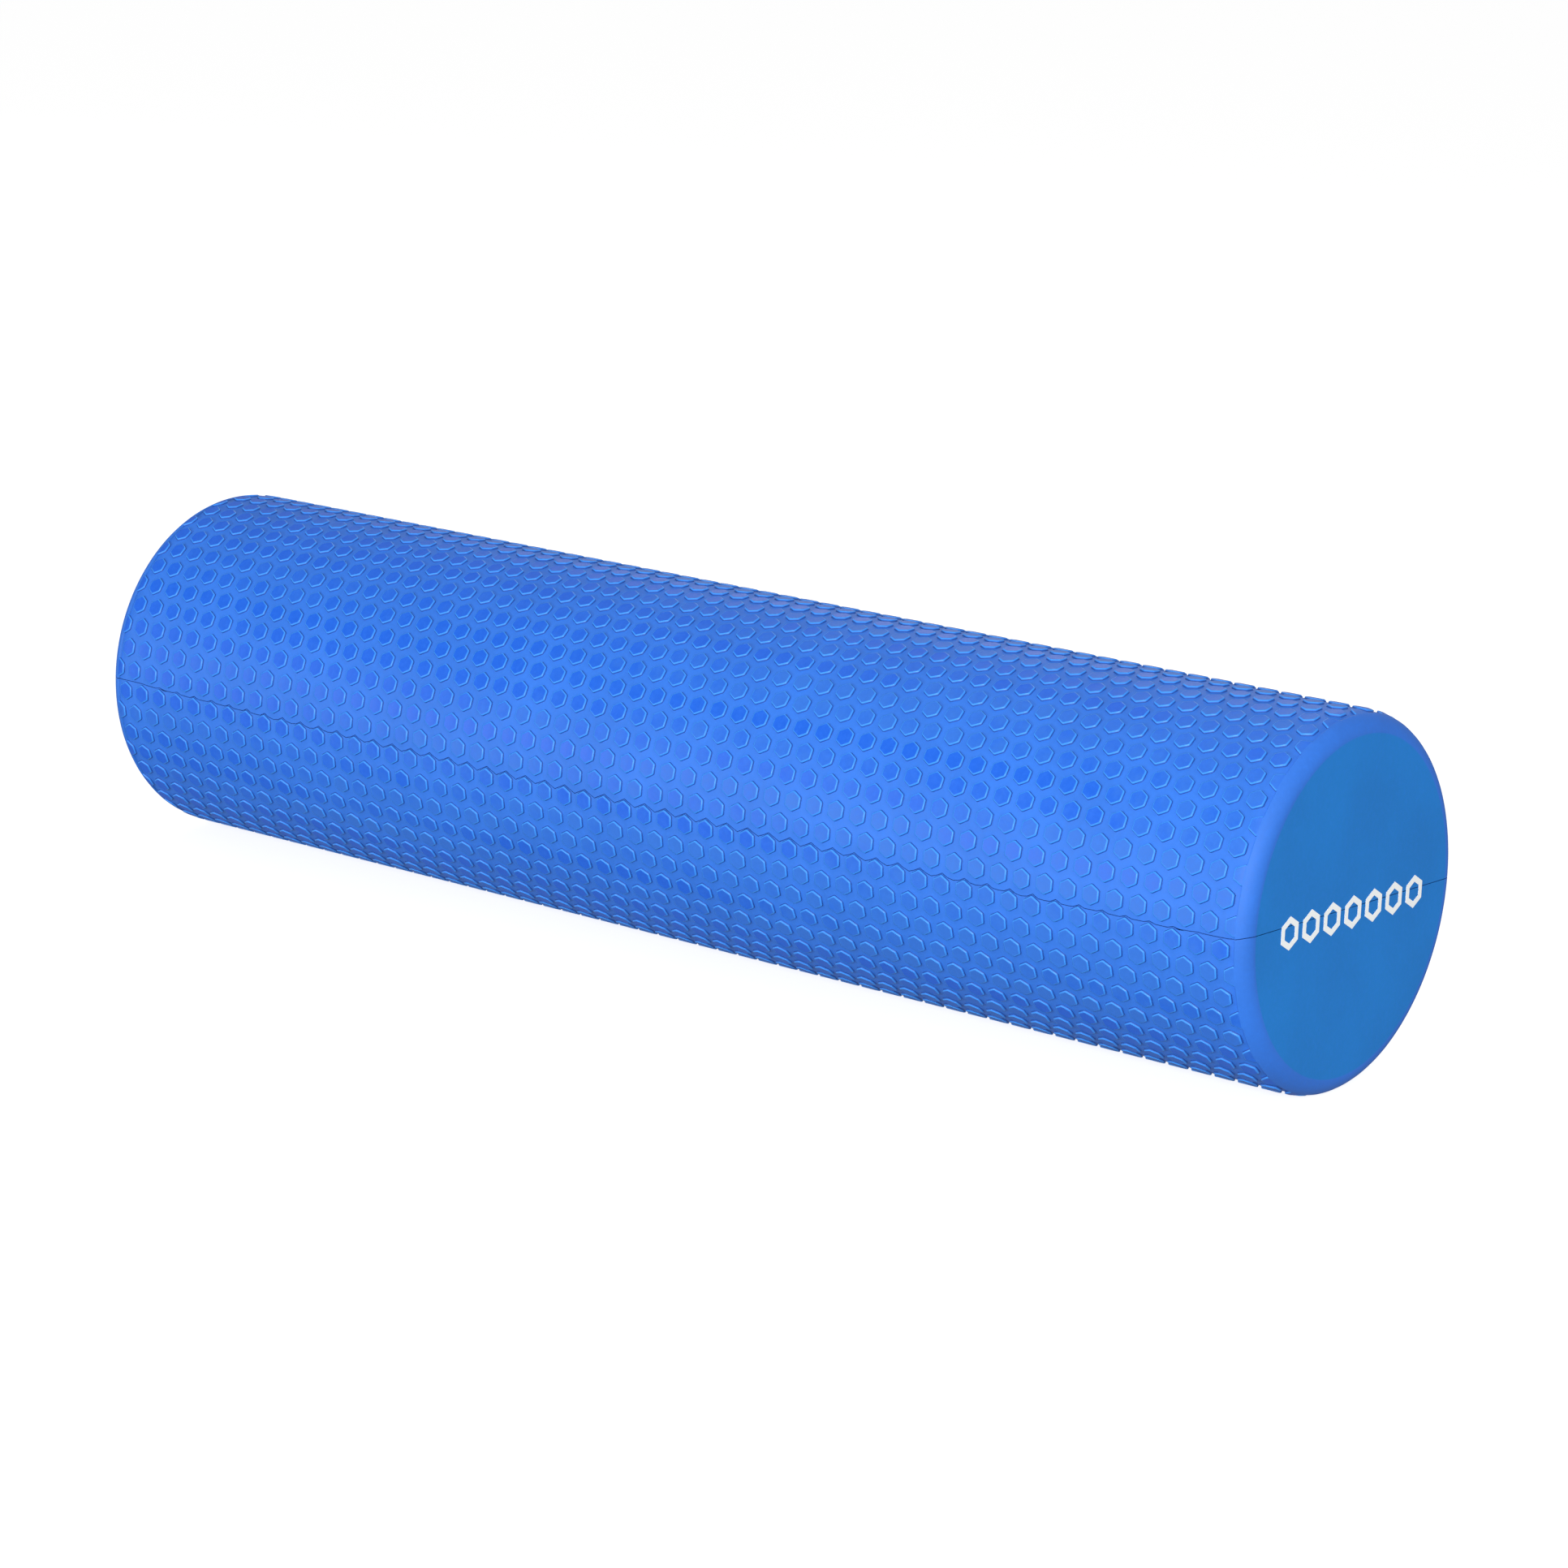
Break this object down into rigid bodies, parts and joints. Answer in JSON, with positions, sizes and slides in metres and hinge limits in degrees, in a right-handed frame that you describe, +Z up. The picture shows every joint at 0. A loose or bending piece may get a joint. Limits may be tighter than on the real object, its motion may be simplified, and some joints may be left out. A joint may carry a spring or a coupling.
{
  "type": "foam roller",
  "caption": "Long solid foam roller with raised hexagonal massage pads, rounded ends and flat end faces, moulded in halves and bonded lengthwise.",
  "frame": {"origin": "centre of the roller, on its axis and midway between the end faces", "axes": "+X along the roller's axis to the printed end, +Z up and square to the bond plane, +Y level across the roller in the bond plane"},
  "size_m": [0.6002, 0.15, 0.1498],
  "materials": {
    "foam_upper": "closed-cell foam with a matt moulded skin, blue",
    "foam_lower": "closed-cell foam with a matt moulded skin, blue",
    "bond_glue": "cured contact glue, dark",
    "print_ink": "matt white pad-print ink"
  },
  "bodies": {
    "root": {"upper_half": "foam_upper", "lower_half": "foam_lower", "bond_film": "bond_glue", "end_print": "print_ink"}
  },
  "joints": []
}
